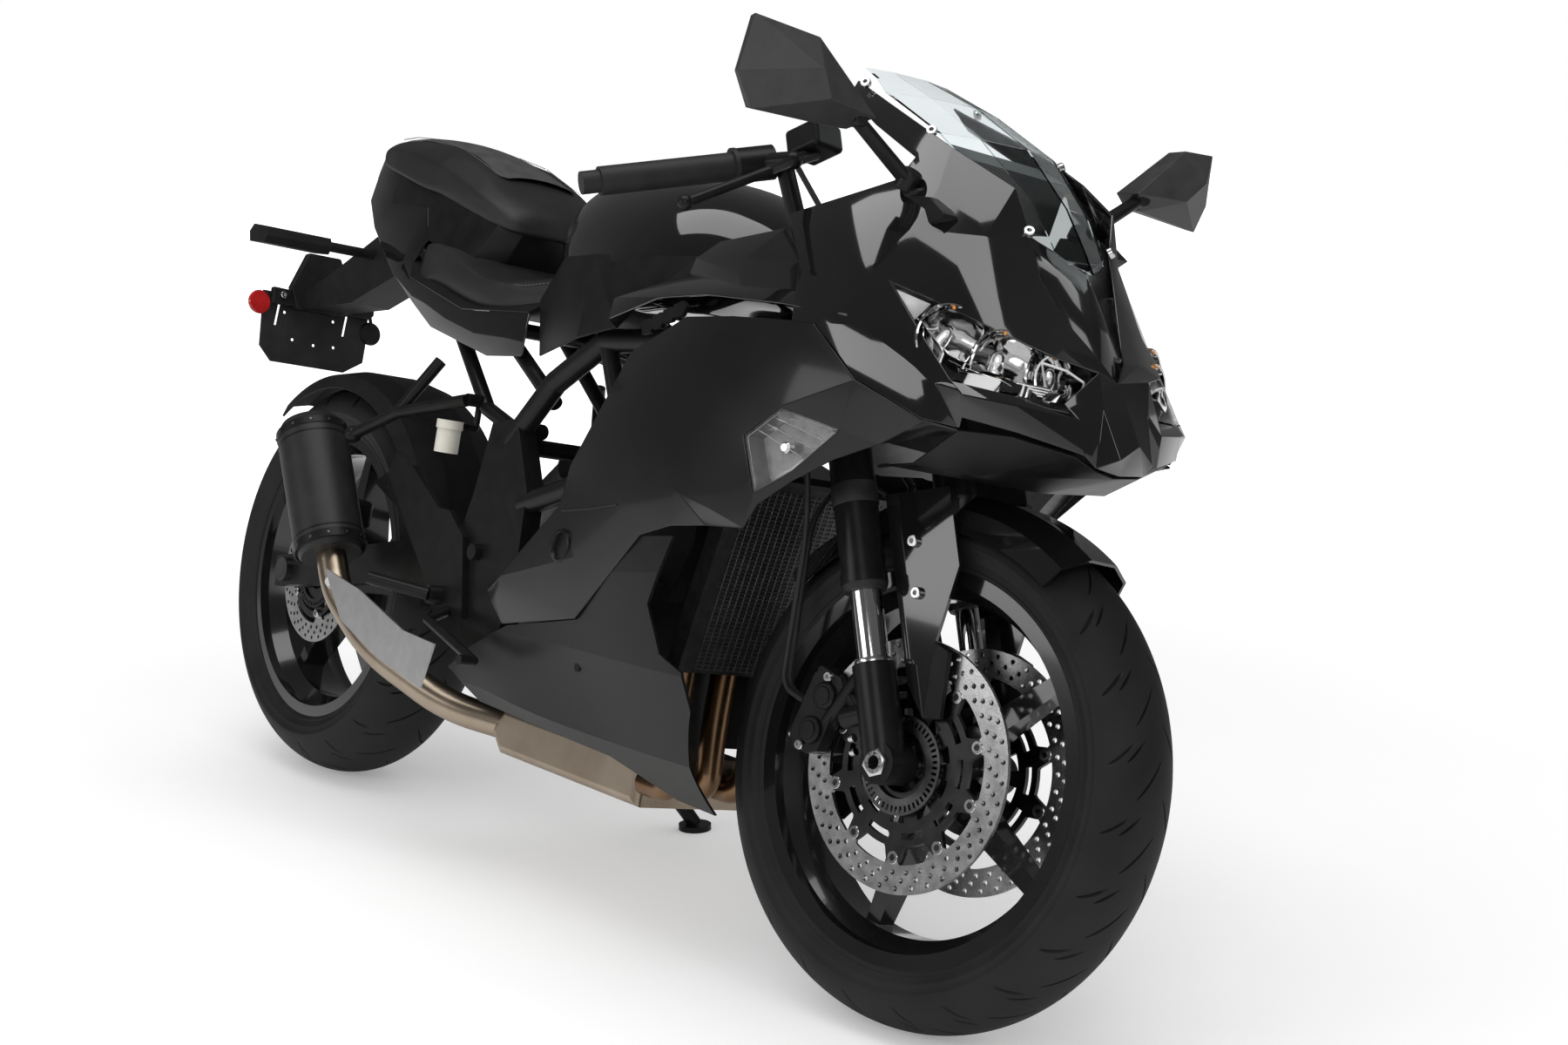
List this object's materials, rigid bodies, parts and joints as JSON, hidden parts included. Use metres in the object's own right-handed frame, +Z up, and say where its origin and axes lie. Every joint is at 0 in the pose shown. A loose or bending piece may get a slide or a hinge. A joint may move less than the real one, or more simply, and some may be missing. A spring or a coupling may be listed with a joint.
{
  "type": "sport motorcycle",
  "caption": "Sport motorcycle leaning on its side stand: faired tube-frame chassis, chain drive, turning wheels, steered fork and a fold-up stand.",
  "frame": {"origin": "on the floor midway between the wheels' contact points along the travel direction, at the contact line", "axes": "+X forward, +Y to the rider's left, +Z up"},
  "size_m": [1.9898, 0.7775, 1.1409],
  "materials": {
    "tyre": "moulded tread",
    "wheel_black": "gloss black",
    "disc_steel": "ground steel",
    "carrier_grey": "anodised gunmetal",
    "steel_dark": "satin",
    "fork_black": "satin black",
    "chrome": "polished",
    "aluminium": "satin",
    "frame_black": "satin black",
    "rubber_black": "matte",
    "plastic_black": "textured matte",
    "gloss_black": "gloss black paint",
    "engine_grey": "cast, painted",
    "radiator_grey": "finned",
    "header_bronze": "heat-tinted",
    "chamber_gold": "heat-tinted",
    "silencer_black": "matte black",
    "shield_silver": "satin",
    "chain_steel": "oiled",
    "lamp_clear": "clear",
    "screen_clear": "clear, faintly smoked",
    "lens_red": "clear red",
    "lens_amber": "clear amber",
    "seat_vinyl": "vinyl",
    "plate_grey": "blank plate",
    "pot_white": "translucent"
  },
  "bodies": {
    "chassis": {"main_frame": "frame_black", "subframe": "frame_black", "engine": "engine_grey", "radiator": "radiator_grey", "exhaust_headers": "header_bronze", "exhaust_chamber": "chamber_gold", "silencer": "silencer_black", "exhaust_shield": "shield_silver", "swingarm": "frame_black", "rear_axle": "steel_dark", "chain": "chain_steel", "shock": "steel_dark", "hugger": "plastic_black", "rear_caliper": "fork_black", "fuel_tank": "gloss_black", "side_covers": "plastic_black", "side_cowl_right": "gloss_black", "side_cowl_left": "gloss_black", "belly_cowls": "gloss_black", "signal_lenses": "lamp_clear", "upper_cowl": "gloss_black", "headlights": "lamp_clear", "windscreen": "screen_clear", "fairing_stay": "frame_black", "dash": "plastic_black", "nose_liner": "plastic_black", "mirrors": "plastic_black", "rider_seat": "seat_vinyl", "pillion_seat": "seat_vinyl", "tail_cowls": "gloss_black", "tail_light": "lens_red", "undertail": "plastic_black", "number_plate": "plate_grey", "rear_indicators": "lens_amber", "rearsets": "aluminium", "pillion_brackets": "aluminium", "rear_reservoir": "pot_white"},
    "front_wheel": {"front_tyre": "tyre", "front_rim": "wheel_black", "front_discs": "disc_steel", "front_disc_carriers": "carrier_grey"},
    "rear_wheel": {"rear_tyre": "tyre", "rear_rim": "wheel_black", "rear_disc": "disc_steel", "sprocket": "steel_dark"},
    "steering": {"fork_tubes": "fork_black", "fork_sliders": "chrome", "fork_feet": "fork_black", "front_axle": "aluminium", "fork_clamps": "aluminium", "handlebars": "fork_black", "grips": "rubber_black", "levers": "aluminium", "bar_controls": "plastic_black", "front_fender": "gloss_black", "front_calipers": "fork_black", "brake_hoses": "rubber_black"},
    "side_stand": {"side_stand": "fork_black"},
    "fuel_cap": {"fuel_cap": "aluminium"}
  },
  "joints": [
    {"name": "steering", "type": "hinge", "parent": "chassis", "child": "steering", "pos_m": [0.50899, 0.13347, 0.62775], "axis": [-0.3972, 0.1907, 0.8977], "range_deg": [-43, 27]},
    {"name": "front_wheel_spin", "type": "hinge", "parent": "steering", "child": "front_wheel", "pos_m": [0.69024, 0.06652, 0.29196], "axis": [-0.1281, 0.9571, -0.2599], "continuous": true},
    {"name": "rear_wheel_spin", "type": "hinge", "parent": "chassis", "child": "rear_wheel", "pos_m": [-0.68946, 0.06487, 0.30715], "axis": [-0.0004, 0.9781, -0.2079], "continuous": true},
    {"name": "side_stand_fold", "type": "hinge", "parent": "chassis", "child": "side_stand", "pos_m": [-0.10967, 0.15719, 0.18733], "axis": [0.0912, 0.8504, 0.5182], "range_deg": [0, 95]},
    {"name": "fuel_cap_lid", "type": "hinge", "parent": "chassis", "child": "fuel_cap", "pos_m": [0.11169, 0.20219, 0.95179], "axis": [-0.0004, 0.9781, -0.2079], "range_deg": [0, 85]}
  ]
}
